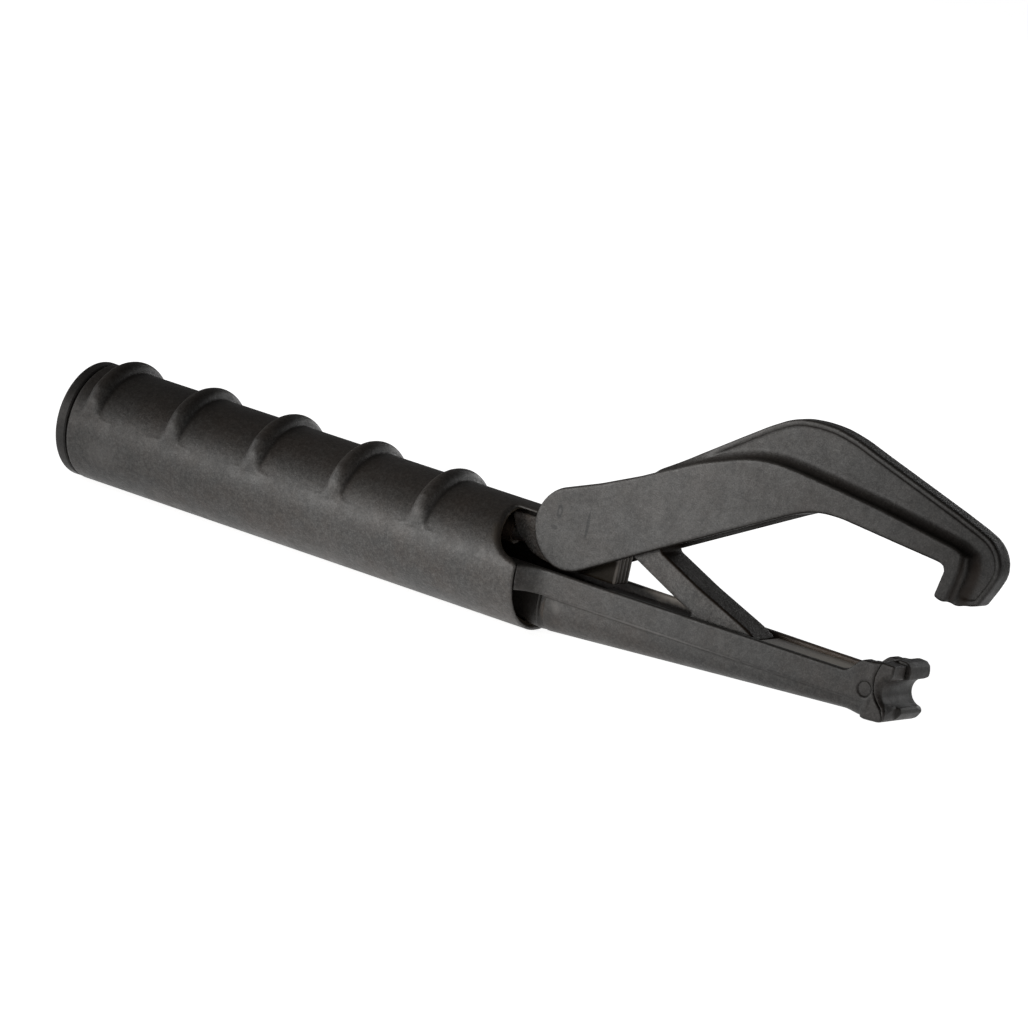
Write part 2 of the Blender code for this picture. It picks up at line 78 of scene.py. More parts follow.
def without(a, b, radius=0.0):
    """The first field with the second cut out of it, and the new edge rounded."""
    return both(a, -b, radius)


def between(value, low, high):
    """A slab from low to high."""
    return np.abs(value - (low + high) / 2) - (high - low) / 2


def smooth_step(value, low, high):
    """0 below low and 1 above high, with a smooth rise between them."""
    share = np.clip((value - low) / (high - low), 0.0, 1.0)
    return share * share * (3 - 2 * share)


def outline_field(u, v, points):
    """Signed distance to a closed outline in a plane."""
    u, v = np.broadcast_arrays(u, v)
    best = np.full(u.shape, np.inf)
    inside = np.zeros(u.shape, dtype=bool)
    for (u0, v0), (u1, v1) in zip(points, points[1:] + points[:1]):
        du, dv = u1 - u0, v1 - v0
        share = np.clip(((u - u0) * du + (v - v0) * dv) / (du * du + dv * dv), 0.0, 1.0)
        best = np.minimum(best, (u - u0 - share * du) ** 2 + (v - v0 - share * dv) ** 2)
        if v0 != v1:
            crossed = ((v0 > v) != (v1 > v)) & (u < u0 + (v - v0) * du / dv)
            inside ^= crossed
    return np.where(inside, -1.0, 1.0) * np.sqrt(best)


def rounded(points, corner=0.8, bend=30.0):
    """Rounds an outline: gentle turns become long curves, sharp ones a corner radius."""
    made = []
    count = len(points)
    for i in range(count):
        here = np.array(points[i], dtype=float)
        back = np.array(points[i - 1], dtype=float) - here
        ahead = np.array(points[(i + 1) % count], dtype=float) - here
        back_length, ahead_length = np.linalg.norm(back), np.linalg.norm(ahead)
        back, ahead = back / back_length, ahead / ahead_length
        turn = math.pi - math.acos(float(np.clip(np.dot(back, ahead), -1, 1)))
        radius = bend if turn < GENTLE_TURN else corner
        reach = min(radius * math.tan(turn / 2), 0.48 * back_length, 0.48 * ahead_length)
        start, end = here + back * reach, here + ahead * reach
        for k in range(5):
            t = k / 4
            point = start * (1 - t) ** 2 + here * 2 * t * (1 - t) + end * t * t
            made.append((float(point[0]), float(point[1])))
    clean = [made[0]]
    for point in made[1:]:
        if math.dist(point, clean[-1]) > 0.02:
            clean.append(point)
    return clean


def arc(centre, radius, start, end, count):
    """Points along an arc, from one angle in degrees to another."""
    angles = [math.radians(start + (end - start) * i / (count - 1)) for i in range(count)]
    return [(centre[0] + radius * math.cos(a), centre[1] + radius * math.sin(a)) for a in angles]


def surface(field, low, high, cell):
    """Vertices and quads of the field's zero surface, by surface nets, then drawn onto the surface."""
    axes = [np.arange(a, b + cell, cell) for a, b in zip(low, high)]
    grid = field(axes[0][:, None, None], axes[1][None, :, None], axes[2][None, None, :])
    grid = np.ascontiguousarray(np.broadcast_to(grid, [len(a) for a in axes]))
    inside = grid < 0
    parts = [inside[i:inside.shape[0] - 1 + i, j:inside.shape[1] - 1 + j, k:inside.shape[2] - 1 + k]
             for i in (0, 1) for j in (0, 1) for k in (0, 1)]
    some = np.logical_or.reduce(parts) & ~np.logical_and.reduce(parts)
    index = np.full(some.shape, -1, dtype=np.int64)
    cells = np.argwhere(some)
    index[some] = np.arange(len(cells))
    total = np.zeros((len(cells), 3))
    count = np.zeros(len(cells))
    for axis in range(3):
        step = np.eye(3, dtype=int)[axis]
        for p in (0, 1):
            for q in (0, 1):
                offset = np.insert([p, q], axis, 0)
                first = tuple((cells + offset).T)
                second = tuple((cells + offset + step).T)
                fa, fb = grid[first], grid[second]
                crossed = (fa < 0) != (fb < 0)
                share = np.where(crossed, fa / np.where(crossed, fa - fb, 1.0), 0.0)
                total += crossed[:, None] * (offset + share[:, None] * step)
                count += crossed
    points = np.array(low) + cell * (cells + total / count[:, None])
    quads = []
    rings = {0: ((0, -1, -1), (0, 0, -1), (0, 0, 0), (0, -1, 0)),
             1: ((-1, 0, 0), (0, 0, 0), (0, 0, -1), (-1, 0, -1)),
             2: ((-1, -1, 0), (0, -1, 0), (0, 0, 0), (-1, 0, 0))}
    for axis in range(3):
        first = [slice(1, -1)] * 3
        second = [slice(1, -1)] * 3
        first[axis], second[axis] = slice(None, -1), slice(1, None)
        start_in = inside[tuple(first)]
        changed = start_in != inside[tuple(second)]
        places = np.argwhere(changed) + np.array([0 if a == axis else 1 for a in range(3)])
        corners = np.stack([index[tuple((places + np.array(o)).T)] for o in rings[axis]], axis=1)
        flip = ~start_in[changed]
        corners[flip] = corners[flip][:, ::-1]
        quads.append(corners)
    for _ in range(3):
        x, y, z = points.T
        value = field(x, y, z)
        h = 0.03
        slope = np.stack([(field(x + h, y, z) - field(x - h, y, z)) / (2 * h),
                          (field(x, y + h, z) - field(x, y - h, z)) / (2 * h),
                          (field(x, y, z + h) - field(x, y, z - h)) / (2 * h)], axis=1)
        size = np.maximum((slope ** 2).sum(axis=1), 0.05)
        move = -slope * (value / size)[:, None]
        length = np.linalg.norm(move, axis=1)
        move *= np.minimum(1.0, 0.5 * cell / np.maximum(length, 1e-9))[:, None]
        points = points + move
    return points, np.concatenate(quads)


# ---- putting pieces in the scene ----
def in_row(points):
    """Handle coordinates in millimetres to the row frame in metres."""
    return (np.asarray(points, dtype=float) + np.array([RIM_X, 0.0, AXIS_Z])) * MM


def add_piece(name, points, faces, body, material, nodes=(), sharp=None):
    """A smooth shaded piece that rides on a body and replaces CAD nodes."""
    mesh = bpy.data.meshes.new(name)
    mesh.from_pydata(in_row(points).tolist(), [], np.asarray(faces).tolist())
    mesh.validate()
    mesh.shade_smooth()
    if sharp:
        mesh.set_sharp_from_angle(angle=math.radians(sharp))
    mesh.materials.append(material)
    piece = bpy.data.objects.new(name, mesh)
    bpy.context.scene.collection.objects.link(piece)
    if nodes:
        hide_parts(*nodes)
    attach(piece, body)
    return piece


def moulded(name, field, low, high, body, material, nodes=(), cell=None):
    """The surface of a distance field, looked for between two corners."""
    points, quads = surface(field, low, high, cell or CELL)
    return add_piece(name, points, quads, body, material, nodes)


def revolved(name, profile, body, material, nodes=(), steps=144, sharp=30):
    """A ring about the handle axis from a closed profile of (x, radius) points."""
    points = []
    for i in range(steps):
        angle = 2 * math.pi * i / steps
        points += [(x, r * math.sin(angle), r * math.cos(angle)) for x, r in profile]
    count = len(profile)
    faces = []
    for i in range(steps):
        j = (i + 1) % steps
        for k in range(count):
            m = (k + 1) % count
            faces.append((i * count + k, i * count + m, j * count + m, j * count + k))
    return add_piece(name, points, faces, body, material, nodes, sharp)


# ---- materials ----
# Colours of dark moulded nylon, and the painted shade for its creases, undersides and tops. Each piece
# multiplies them by its own tone.
CLOUD_DARK, CLOUD_PALE = (0.032, 0.0305, 0.029), (0.054, 0.052, 0.0495)
BROWN_STAIN = (0.052, 0.037, 0.028)
GREY_BLOTCH = (0.078, 0.074, 0.070)
GRAIN_PALE, GRAIN_DARK = (0.115, 0.111, 0.106), (0.010, 0.0095, 0.009)
SCUFF = (0.17, 0.165, 0.155)
# painted shade for creases and for faces that look down
PAINTED_SHADE = (0.010, 0.008, 0.0065)
WORN_EDGE = (0.095, 0.089, 0.083)
# painted shade for the faces that look up
PAINTED_TOP_SHADE = (0.017, 0.0125, 0.0095)


class Nodes:
    """A small helper round one material's node tree."""

    def __init__(self, name):
        self.material = bpy.data.materials.new(name)
        self.material.use_nodes = True
        self.tree = self.material.node_tree
        self.shader = self.tree.nodes["Principled BSDF"]
        place = self.new("ShaderNodeTexCoord")
        self.place = place.outputs["Object"]

    def new(self, kind, **values):
        node = self.tree.nodes.new(kind)
        for key, value in values.items():
            setattr(node, key, value)
        return node

    def link(self, source, target):
        self.tree.links.new(source, target)

    def noise(self, scale, detail=3.0, rough=0.55, stretch=None):
        node = self.new("ShaderNodeTexNoise")
        node.inputs["Scale"].default_value = scale
        node.inputs["Detail"].default_value = detail
        node.inputs["Roughness"].default_value = rough
        source = self.place
        if stretch:
            mapping = self.new("ShaderNodeMapping")
            mapping.inputs["Scale"].default_value = stretch
            self.link(self.place, mapping.inputs["Vector"])
            source = mapping.outputs["Vector"]
        self.link(source, node.inputs["Vector"])
        return node.outputs["Fac"]

    def range(self, source, low, high, to_low, to_high):
        node = self.new("ShaderNodeMapRange", clamp=True)
        for key, value in (("From Min", low), ("From Max", high), ("To Min", to_low), ("To Max", to_high)):
            node.inputs[key].default_value = value
        self.link(source, node.inputs["Value"])
        return node.outputs["Result"]

    def math(self, operation, a, b=None):
        node = self.new("ShaderNodeMath", operation=operation)
        for i, value in enumerate((a, b)):
            if value is None:
                continue
            if isinstance(value, (int, float)):
                node.inputs[i].default_value = value
            else:
                self.link(value, node.inputs[i])
        return node.outputs[0]

    def mix(self, share, first, second, blend="MIX"):
        node = self.new("ShaderNodeMix", data_type="RGBA", blend_type=blend)
        for key, value in ((6, first), (7, second)):
            if isinstance(value, tuple):
                node.inputs[key].default_value = (*value, 1.0)
            else:
                self.link(value, node.inputs[key])
        if isinstance(share, (int, float)):
            node.inputs[0].default_value = share
        else:
            self.link(share, node.inputs[0])
        return node.outputs[2]

    def bump(self, height, strength, distance, below=None):
        node = self.new("ShaderNodeBump")
        node.inputs["Strength"].default_value = strength
        node.inputs["Distance"].default_value = distance
        self.link(height, node.inputs["Height"])
        if below is not None:
            self.link(below, node.inputs["Normal"])
        return node.outputs["Normal"]

    def finish(self, color, roughness, normal, metallic=0.0, specular=0.5):
        self.link(color, self.shader.inputs["Base Color"])
        self.link(roughness, self.shader.inputs["Roughness"])
        self.link(normal, self.shader.inputs["Normal"])
        self.shader.inputs["Metallic"].default_value = metallic
        self.shader.inputs["Specular IOR Level"].default_value = specular
        return self.material


def near_spot(n, spot, reach, stretch, core, ragged):
    """1 at a spot in handle coordinates, falling from the core to 0 at the reach, with a ragged edge."""
    mapping = n.new("ShaderNodeMapping")
    middle = in_row(spot)
    mapping.inputs["Location"].default_value = tuple(-c * k for c, k in zip(middle, stretch))
    mapping.inputs["Scale"].default_value = stretch
    n.link(n.place, mapping.inputs["Vector"])
    length = n.new("ShaderNodeVectorMath", operation="LENGTH")
    n.link(mapping.outputs["Vector"], length.inputs[0])
    wave = n.range(n.noise(420.0, 3.0, 0.6), 0.3, 0.7, 1.0 - ragged, 1.0 + ragged)
    away = n.math("MULTIPLY", length.outputs["Value"], wave)
    return n.range(away, reach * MM * core, reach * MM, 1.0, 0.0)


def mark(spot, reach, paint, strength, stretch=(1.0, 1.0, 1.0), core=0.45, ragged=0.2):
    """Painted shade, painted light, dust or wear round a spot: solid out to its core, and gone at its reach.
    """
    return spot, reach, stretch, core, ragged, paint, strength


def nylon(name, tone=1.0, warm=0.35, grain=1.0, marks=(), fade=None, gloss=0.45, crown=0.3, lean=0.0,
          belly=0.0):
    """Dark moulded plastic: fine sandy grain, cloudy tone, brown dust, painted shade in creases, and worn
    edges.

    warm is the share of brown stain, and marks is a list of what mark() gives, painted over the rest.
    fade is (x0, x1, tone): darker and duller along the handle axis from one x to the other. crown paints
    shade on the faces that look up, lean turns that towards +x, and belly paints shade on the faces that
    look the other way.
    """
    n = Nodes(name)

    def shade(color):
        return tuple(c * tone for c in color)

    cloud = n.range(n.noise(45.0, 6.0, 0.7), 0.34, 0.68, 0.0, 1.0)
    color = n.mix(cloud, shade(CLOUD_DARK), shade(CLOUD_PALE))
    stain = n.range(n.noise(70.0, 6.0, 0.7), 0.42, 0.70, 0.0, warm)
    color = n.mix(stain, color, shade(BROWN_STAIN))
    blotch = n.range(n.noise(260.0, 5.0, 0.75), 0.52, 0.70, 0.0, 0.45)
    color = n.mix(blotch, color, shade(GREY_BLOTCH))
    fine = n.noise(2300.0, 3.0, 0.75)
    coarse = n.noise(1000.0, 3.0, 0.6)
    grains = n.math("ADD", n.math("MULTIPLY", fine, 0.6), n.math("MULTIPLY", coarse, 0.4))
    color = n.mix(n.range(grains, 0.50, 0.64, 0.0, 0.55), color, shade(GRAIN_PALE))
    color = n.mix(n.range(grains, 0.37, 0.50, 0.75, 0.0), color, shade(GRAIN_DARK))
    scuff_place = n.range(n.noise(48.0, 3.0, 0.6), 0.60, 0.70, 0.0, 1.0)
    scuff_lines = n.range(n.noise(620.0, 3.0, 0.6, stretch=(0.12, 1.0, 1.0)), 0.60, 0.70, 0.0, 1.0)
    scuff = n.math("MULTIPLY", n.math("MULTIPLY", scuff_place, scuff_lines), 0.25)
    color = n.mix(scuff, color, shade(SCUFF))
    bend = n.new("ShaderNodeNewGeometry").outputs["Pointiness"]
    # painted shade in creases and hollows, found from the mesh's pointiness
    color = n.mix(n.range(bend, 0.42, 0.49, 0.8, 0.0), color, shade(PAINTED_SHADE))
    color = n.mix(n.range(bend, 0.52, 0.60, 0.0, 0.45), color, shade(WORN_EDGE))
    # painted shade on the faces that look up, turned towards +x by lean, with less gloss there
    facing = n.new("ShaderNodeVectorMath", operation="DOT_PRODUCT")
    n.link(n.new("ShaderNodeNewGeometry").outputs["Normal"], facing.inputs[0])
    facing.inputs[1].default_value = (lean, 0.0, 1.0)
    top_shade_share = n.range(facing.outputs["Value"], 0.1, 0.75, 0.0, crown)
    color = n.mix(top_shade_share, color, shade(PAINTED_TOP_SHADE))
    shine = n.range(facing.outputs["Value"], 0.1, 0.75, gloss, gloss * (1 - 0.85 * crown))
    if belly:
        # painted shade on the faces that look down, with less gloss there
        under = n.range(facing.outputs["Value"], -0.6, -0.2, belly, 0.0)
        color = n.mix(under, color, shade(PAINTED_SHADE))
        shine = n.math("MULTIPLY", shine, n.math("SUBTRACT", 1.0, under))
    if fade:
        split = n.new("ShaderNodeSeparateXYZ")
        n.link(n.place, split.inputs[0])
        start, end = ((x + RIM_X) * MM for x in fade[:2])
        share = n.range(split.outputs["X"], start, end, 0.0, 1.0)
        color = n.mix(share, color, (fade[2],) * 3, "MULTIPLY")
        shine = n.math("MULTIPLY", shine, n.range(split.outputs["X"], start, end, 1.0, fade[2]))
    for spot, reach, stretch, core, ragged, paint, strength in marks:
        place = near_spot(n, spot, reach, stretch, core, ragged)
        color = n.mix(n.math("MULTIPLY", place, strength), color, paint)
    rough = n.range(n.noise(240.0, 4.0, 0.65), 0.3, 0.7, 0.42, 0.58)
    normal = n.bump(n.noise(330.0, 3.0, 0.5), 0.10 * grain, 0.0006)
    normal = n.bump(coarse, 0.35 * grain, 0.0002, normal)
    normal = n.bump(fine, 0.5 * grain, 0.0001, normal)
    n.link(shine, n.shader.inputs["Specular IOR Level"])
    return n.finish(color, rough, normal, specular=gloss)


def metal(name, base, tint, rough_low, rough_high, stretch=(1.0, 14.0, 1.0), grain=0.12):
    """Machined or plated metal: drawn lines, tarnish in patches and uneven gloss."""
    n = Nodes(name)
    patch = n.range(n.noise(120.0, 5.0, 0.62), 0.38, 0.72, 0.0, 1.0)
    color = n.mix(patch, base, tint)
    spots = n.range(n.noise(900.0, 3.0, 0.6), 0.64, 0.76, 0.0, 0.45)
    color = n.mix(spots, color, tuple(c * 0.45 for c in tint))
    lines = n.noise(850.0, 4.0, 0.65, stretch=stretch)
    rough = n.range(lines, 0.3, 0.7, rough_low, rough_high)
    normal = n.bump(lines, grain, 0.00012)
    return n.finish(color, rough, normal, metallic=1.0)


def fibre(name):
    """Brown insulating board or tube with a woven surface."""
    n = Nodes(name)
    weave = n.noise(1100.0, 3.0, 0.6, stretch=(1.0, 6.0, 6.0))
    color = n.mix(n.range(weave, 0.35, 0.65, 0.0, 1.0), (0.030, 0.019, 0.012), (0.058, 0.038, 0.024))
    rough = n.range(n.noise(300.0, 3.0, 0.6), 0.3, 0.7, 0.55, 0.8)
    return n.finish(color, rough, n.bump(weave, 0.25, 0.0002))


def rubber(name):
    """Matt black rubber."""
    n = Nodes(name)
    cloud = n.range(n.noise(160.0, 4.0, 0.6), 0.35, 0.7, 0.0, 1.0)
    color = n.mix(cloud, (0.017, 0.017, 0.017), (0.045, 0.043, 0.04))
    rough = n.range(n.noise(500.0, 3.0, 0.6), 0.3, 0.7, 0.7, 0.9)
    return n.finish(color, rough, n.bump(n.noise(1500.0, 3.0, 0.6), 0.3, 0.00015), specular=0.3)


# ---- the pieces' own looks ----
HOOK_SHADE = (0.014, 0.010, 0.0075)
# painted shade for the fold between the hook's step and the fin
HOOK_FOLD_SHADE = (0.014, 0.009, 0.006)
# painted shade for hollows and openings
DEEP_SHADE = (0.008, 0.0062, 0.0045)
LINE = (0.004, 0.004, 0.0035)
# a pale brown for the tube's cut rim and bore
PALE_BROWN = (0.085, 0.064, 0.040)

HANDLE = nylon("look_handle", 0.84, 0.65, 1.0, fade=(-50.0, -140.0, 0.55), crown=0.58, marks=[
    # the cut rim and the bore are painted pale brown
    mark((0.0, 0.0, 0.0), 14.3, PALE_BROWN, 0.9, stretch=(0.0, 1.0, 1.0), core=0.93, ragged=0.0),
    # painted shade, dark brown, in the window's corner
    mark((-7.5, -12.6, 8.5), 3.6, (0.03, 0.023, 0.016), 0.7, stretch=(1.0, 1.0, 0.7)),
    # a scuff near the rear end
    mark((-129.0, -14.0, -4.5), 8.0, (0.14, 0.138, 0.135), 0.2,
         stretch=(1.0, 1.0, 1.6), core=0.1, ragged=0.5)])
COLLAR = nylon("look_collar", 0.3, 1.0, 0.9, gloss=0.2)
# fade paints the light falling off towards the tip; crown, lean and belly paint shade on top, front and
# under faces
JAW = nylon("look_jaw", 0.74, 0.4, 1.0, fade=(40.0, 112.0, 0.42), crown=0.6, lean=0.5, belly=0.9, marks=[
    # shade in the fold beside the hook's thick end
    mark((113.6, -5.5, 31.5), 1.1, HOOK_SHADE, 0.75, stretch=(1.0, 1.0, 0.22), core=0.4, ragged=0.1),
    mark((112.7, -5.5, 26.5), 1.1, HOOK_SHADE, 0.75, stretch=(1.0, 1.0, 0.3), core=0.4, ragged=0.1),
    # painted shade in the fold between the hook's step and the fin
    mark((115.7, -2.5, 32.3), 2.1, HOOK_FOLD_SHADE, 0.85, stretch=(1.0, 1.0, 0.4), core=0.35, ragged=0.15),
    mark((114.4, -2.5, 27.2), 2.1, HOOK_FOLD_SHADE, 0.85, stretch=(1.0, 1.0, 0.4), core=0.35, ragged=0.15),
    # painted shade inside the hollow
    mark((28.0, 0.0, 15.0), 5.6, DEEP_SHADE, 0.9, stretch=(0.3, 1.0, 0.45), core=0.9, ragged=0.0),
    mark((50.0, 0.0, 28.0), 5.6, DEEP_SHADE, 0.9, stretch=(0.3, 1.0, 0.45), core=0.9, ragged=0.0),
    # a small moulding ring, a dark line that paints the shade of its shallow groove
    mark((4.0, -6.5, 16.5), 1.6, LINE, 1.0, stretch=(1.7, 1.0, 0.8), core=0.7, ragged=0.1),
    mark((4.05, -6.5, 16.4), 0.75, (0.045, 0.042, 0.04), 0.9, stretch=(1.7, 1.0, 0.8), core=0.6, ragged=0.1),
    # a moulding tick
    mark((3.3, -6.5, 12.3), 0.95, LINE, 1.0, stretch=(0.8, 1.0, 1.5), core=0.7, ragged=0.1),
    # a thin moulding line
    mark((12.55, -6.5, 15.2), 0.5, LINE, 1.0, stretch=(1.0, 1.0, 0.12), core=0.7, ragged=0.1)])
# fade paints the light falling off towards the tip, and crown paints shade on the faces that look up
LOWER = nylon("look_lower_jaw", 0.62, 0.8, 1.0, fade=(20.0, 100.0, 0.6), crown=0.4, marks=[
    # painted shade in the opening beside the rim
    mark((1.5, -6.0, -8.5), 7.5, DEEP_SHADE, 0.92, stretch=(0.8, 1.0, 0.7)),
    mark((1.5, 6.0, -8.5), 7.5, DEEP_SHADE, 0.92, stretch=(0.8, 1.0, 0.7)),
    # a brown streak at its front end
    mark((5.3, -8.0, -8.5), 1.4, (0.06, 0.043, 0.031), 0.7, stretch=(1.0, 0.4, 0.25)),
    # a painted highlight just in front of it
    mark((9.7, -8.4, -5.9), 1.9, (0.115, 0.108, 0.1), 0.45, stretch=(1.0, 0.5, 1.0), core=0.2, ragged=0.4),
    # a painted highlight along the band's near lower edge
    mark((36.0, -8.7, -3.95), 0.42, (0.12, 0.115, 0.11), 0.5,
         stretch=(0.013, 0.25, 1.0), core=0.3, ragged=0.3),
    # a painted highlight along the far wall's top
    mark((31.0, 7.6, 2.0), 1.9, (0.24, 0.215, 0.185), 0.85, stretch=(0.2, 1.0, 1.0), core=0.5),
    # the far wall is painted light brown near the tip
    mark((76.0, 6.4, 0.4), 2.6, (0.085, 0.058, 0.04), 0.85, stretch=(0.1, 1.0, 1.0))])
# crown and lean paint full shade on the faces that look up and forward
GUIDE = nylon("look_guide", 0.85, 0.5, 0.9, gloss=0.35, crown=1.0, lean=1.2)
BLOCK_LOOK = nylon("look_block", 1.5, 1.0, 0.8, gloss=0.08, crown=0.3, marks=[
    # painted shadow of the jaw, dark brown, on the sides
    mark((14.0, -3.0, 6.0), 9.0, (0.011, 0.0078, 0.0042), 0.97, stretch=(1.0, 0.5, 1.0), core=0.75),
    # painted light on the ridges of the front face
    mark((22.0, 0.0, 6.5), 1.6, (0.17, 0.155, 0.14), 0.85, stretch=(1.0, 0.1, 0.1), core=0.6, ragged=0.1)])
COVER = nylon("look_cover", 3.6, 1.0, 0.8, crown=0.0, marks=[
    # dust, thicker towards the tip
    mark((86.0, 0.0, 1.2), 13.0, (0.3, 0.275, 0.235), 0.75, stretch=(0.6, 1.0, 1.0), core=0.2, ragged=0.3)])
CONTACT = nylon("look_contact", 0.34, 1.0, 0.7, gloss=0.25)
STEEL = metal("look_steel", (0.42, 0.41, 0.39), (0.56, 0.55, 0.51), 0.28, 0.5)
BRASS = metal("look_brass", (0.50, 0.34, 0.13), (0.62, 0.45, 0.2), 0.25, 0.45)
COPPER = metal("look_copper", (0.50, 0.22, 0.12), (0.62, 0.31, 0.18), 0.3, 0.52)
BRONZE = metal("look_bronze", (0.10, 0.085, 0.07), (0.16, 0.13, 0.10), 0.4, 0.62)
FIBRE = fibre("look_fibre")
RUBBER = rubber("look_rubber")


# ---- handle sleeve ----
SLEEVE_REAR = -140.4
BORE_R = 13.0
BORE_FLARE = 1.35                       # how much the bore opens at the front rim
RIBS = [-30.8 - 25.79 * i for i in range(5)]
RIB_HALF = 2.5
RIB_ANGLES = [0, 30, 50, 62, 70, 79]    # degrees from the top of the tube
RIB_HEIGHTS = [2.35, 2.45, 2.5, 1.85, 0.9, 0.0]
WINDOW = rounded([(6.0, 2.5), (-0.2, 2.6), (-2.6, 3.2), (-5.2, 4.2), (-7.4, 6.3), (-8.8, 9.4), (-9.9, 12.5),
                  (-9.6, 13.7), (6.0, 13.7)], corner=0.7)


def sleeve_field(x, y, z):
    """Tube with half-round finger ribs that run over the top and fade out half way down the sides."""
    radius = np.sqrt(y * y + z * z)
    angle = np.degrees(np.abs(np.arctan2(y, z)))
    height = np.interp(angle, RIB_ANGLES, RIB_HEIGHTS)
    tube = radius - TUBE_R
    for middle in RIBS:
        away = (x - middle) / RIB_HALF
        crest = (radius - TUBE_R) / np.maximum(height, 0.05)
        rib = (np.sqrt(away ** 2 + np.maximum(crest, 0.0) ** 2) - 1.0) * np.minimum(height, RIB_HALF)
        rib = np.where(height > 0.05, rib, 5.0)
        tube = fillet(tube, rib, 0.35)
    tube = both(tube, between(x, SLEEVE_REAR, 0.0), 0.45)
    bore = radius - (BORE_R + BORE_FLARE * np.clip((x + 2.2) / 2.2, 0.0, 1.0))
    tube = without(tube, bore, 0.25)
    window = outline_field(x, z, WINDOW)
    tube = without(tube, window, 0.95)
    strip_end = np.maximum(-3.1 - x, 12.0 - z)      # the strip over the window ends behind the rim
    return without(tube, strip_end, 0.4)


moulded("grip_sleeve_look", sleeve_field, (-142.0, -18.5, -16.0), (1.2, 18.5, 18.8), "handle", HANDLE,
        ["grip_sleeve"], cell=0.45)


# ---- rear collar ----
def collar_profile():
    """Outside with a rounded rear edge, the ringed rear face, and the spigot's bore inside the sleeve."""
    rear, front, edge = -144.4, -140.9, 1.0
    outer = [(front, 12.6), (front, 14.2), (front - 0.15, 14.6), (front - 0.5, 14.85)]
    outer += [(x, r) for x, r in arc((rear + edge, 14.9 - edge), edge, 90, 180, 11)]
    face = [(rear, 12.3), (rear + 0.3, 12.1), (rear + 0.3, 9.6), (rear, 9.4), (rear, 8.3), (rear + 0.3, 8.0)]
    inner = [(-139.0, 8.0), (-139.0, 9.6), (-124.3, 9.6), (-124.3, 12.3), (-124.6, 12.6)]
    return outer + face + inner


revolved("rear_collar_look", collar_profile(), "clamp_collar", COLLAR, ["rear_collar"])


# ---- upper jaw ----
def jaw_body_outline():
    """The round end on the pivot, the back, the hook and the underside."""
    rear = arc(PIVOT, 10.3, 298, 113.4, 30)
    top = [(13.5, 26.0), (24.1, 30.7), (29.2, 33.3), (39.6, 38.3), (50.1, 42.1), (55.5, 43.4), (61.1, 43.7),
           (66.9, 43.3), (78.4, 42.1), (90.0, 40.7), (101.5, 38.9), (111.5, 37.3), (113.6, 36.4)]
    hook = [(113.9, 33.2), (113.3, 30.2), (112.1, 24.6), (110.6, 24.2), (108.4, 24.9), (109.7, 31.3),
            (109.2, 32.4), (108.0, 32.9)]
    under = [(97.3, 33.9), (80.1, 35.6), (74.5, 35.5), (69.2, 34.0), (64.2, 31.5), (54.2, 26.2),
             (38.9, 18.1), (28.6, 12.6), (15.6, 5.4)]
    return rounded(rear + top + hook + under, corner=0.9)


def fin_outline():
    """The thin fin on the jaw's back: its crest, the round nose, and a line buried in the jaw."""
    back = [(26.6, 32.0), (36.6, 39.3), (46.4, 45.9), (53.8, 50.8), (58.7, 53.6), (62.0, 54.75),
            (67.0, 55.3), (72.5, 55.2), (78.4, 53.9), (84.5, 51.9), (96.6, 48.1), (108.6, 44.3),
            (114.5, 42.3)]
    nose = [(118.2, 40.8), (120.6, 38.6), (121.9, 35.9), (122.1, 33.0), (120.7, 29.6), (118.4, 25.2),
            (115.4, 24.2)]
    inside = [(112.0, 24.6), (111.6, 35.0), (90.0, 38.0), (62.0, 41.0), (40.0, 35.0), (30.0, 29.0)]
    return rounded(back + nose + inside, corner=1.2)


JAW_BODY = jaw_body_outline()
FIN = fin_outline()
HOLLOW = rounded([(13.0, -4.0), (13.0, 21.0), (22.0, 26.6), (40.0, 35.0), (52.0, 39.0), (60.0, 40.2),
                  (64.5, 38.6), (67.0, 35.0), (66.0, 30.0), (60.0, 24.0), (40.0, 8.0), (26.0, -4.0)],
                 corner=3.0)
STEP = rounded([(110.0, 36.6), (114.6, 36.0), (115.1, 33.1), (114.5, 30.1), (113.2, 24.3), (110.0, 24.6)],
               corner=0.6)
JAW_HALF, FIN_HALF, BEAD_HALF, STEP_HALF = 6.5, 2.25, 2.6, 5.2
HOLLOW_HALF, SLOT_HALF = 4.95, 4.1
PIN_HOLE_R = 2.6


